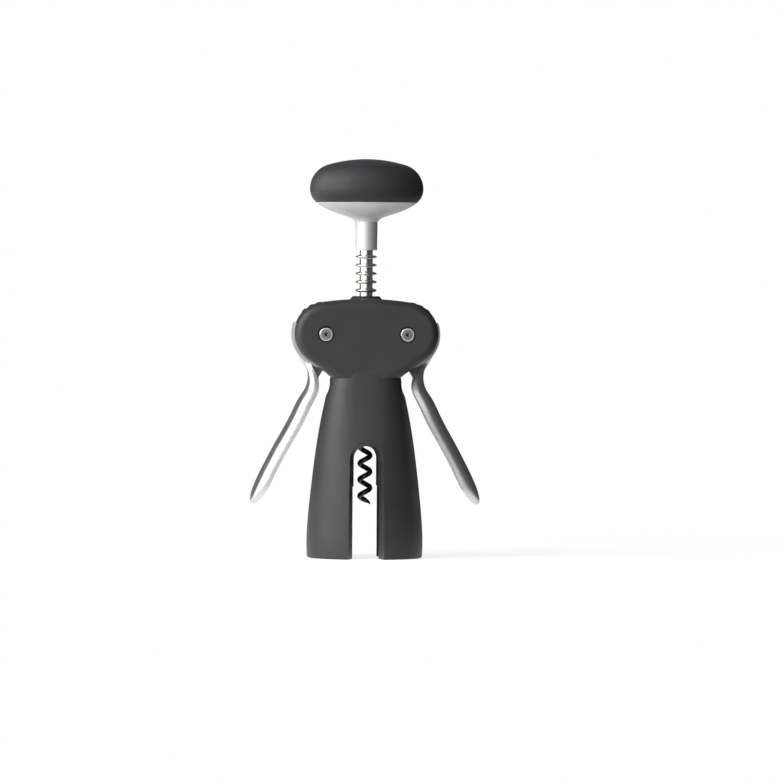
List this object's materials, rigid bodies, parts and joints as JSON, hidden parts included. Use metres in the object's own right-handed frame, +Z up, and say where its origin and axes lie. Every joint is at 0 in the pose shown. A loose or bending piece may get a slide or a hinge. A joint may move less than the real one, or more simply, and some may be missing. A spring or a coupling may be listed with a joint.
{
  "type": "wing corkscrew",
  "caption": "Two-lever wing corkscrew: oval turning knob, ringed rack and open worm over a windowed bell that seats on a bottle neck.",
  "frame": {"origin": "centre of the body's bottom rim, on the surface that it stands on", "axes": "+X to the right lever, +Y to the back, +Z up along the worm"},
  "size_m": [0.13, 0.0566, 0.2253],
  "materials": {
    "body_black": "fine satin moulded texture",
    "bush_acetal": "smooth satin",
    "fastener_steel": "bright zinc plated",
    "lever_metal": "satin chrome on a die casting",
    "pin_steel": "turned",
    "washer_nylon": "natural",
    "rack_steel": "turned and plated",
    "worm_black": "low-friction black coating",
    "knob_metal": "bead blasted satin chrome",
    "knob_core_plastic": "moulded",
    "grip_black": "soft satin elastomer"
  },
  "bodies": {
    "housing": {"front_shell": "body_black", "back_shell": "body_black", "top_bush": "bush_acetal", "guide_bush": "bush_acetal", "shell_screws": "fastener_steel", "left_pivot_pin": "pin_steel", "right_pivot_pin": "pin_steel", "pin_nuts": "pin_steel", "lever_washers": "washer_nylon"},
    "rack": {"rack_sleeve": "rack_steel"},
    "spindle_and_knob": {"spindle": "rack_steel", "thrust_washers": "fastener_steel", "worm": "worm_black", "worm_pin": "fastener_steel", "knob_shell": "knob_metal", "knob_core": "knob_core_plastic", "knob_grip": "grip_black", "knob_nut": "fastener_steel", "lock_washer": "fastener_steel"},
    "left_lever": {"left_lever": "lever_metal"},
    "right_lever": {"right_lever": "lever_metal"}
  },
  "joints": [
    {"name": "rack_slide", "type": "slide", "parent": "housing", "child": "rack", "axis": [0, 0, 1], "range_m": [-0.0385, 0.0025]},
    {"name": "knob_turn", "type": "hinge", "parent": "rack", "child": "spindle_and_knob", "pos_m": [0, 0, 0.2], "axis": [0, 0, 1], "continuous": true},
    {"name": "left_lever_swing", "type": "hinge", "parent": "housing", "child": "left_lever", "pos_m": [-0.02293, 0, 0.1262], "axis": [0, 1, 0], "range_deg": [-8.2, 122.8]},
    {"name": "right_lever_swing", "type": "hinge", "parent": "housing", "child": "right_lever", "pos_m": [0.02293, 0, 0.1262], "axis": [0, 1, 0], "range_deg": [-122.8, 8.2]}
  ],
  "couplings": [
    {"joint": "left_lever_swing", "follows": "rack_slide", "rad_per_m": -55.556},
    {"joint": "right_lever_swing", "follows": "rack_slide", "rad_per_m": 55.556}
  ]
}
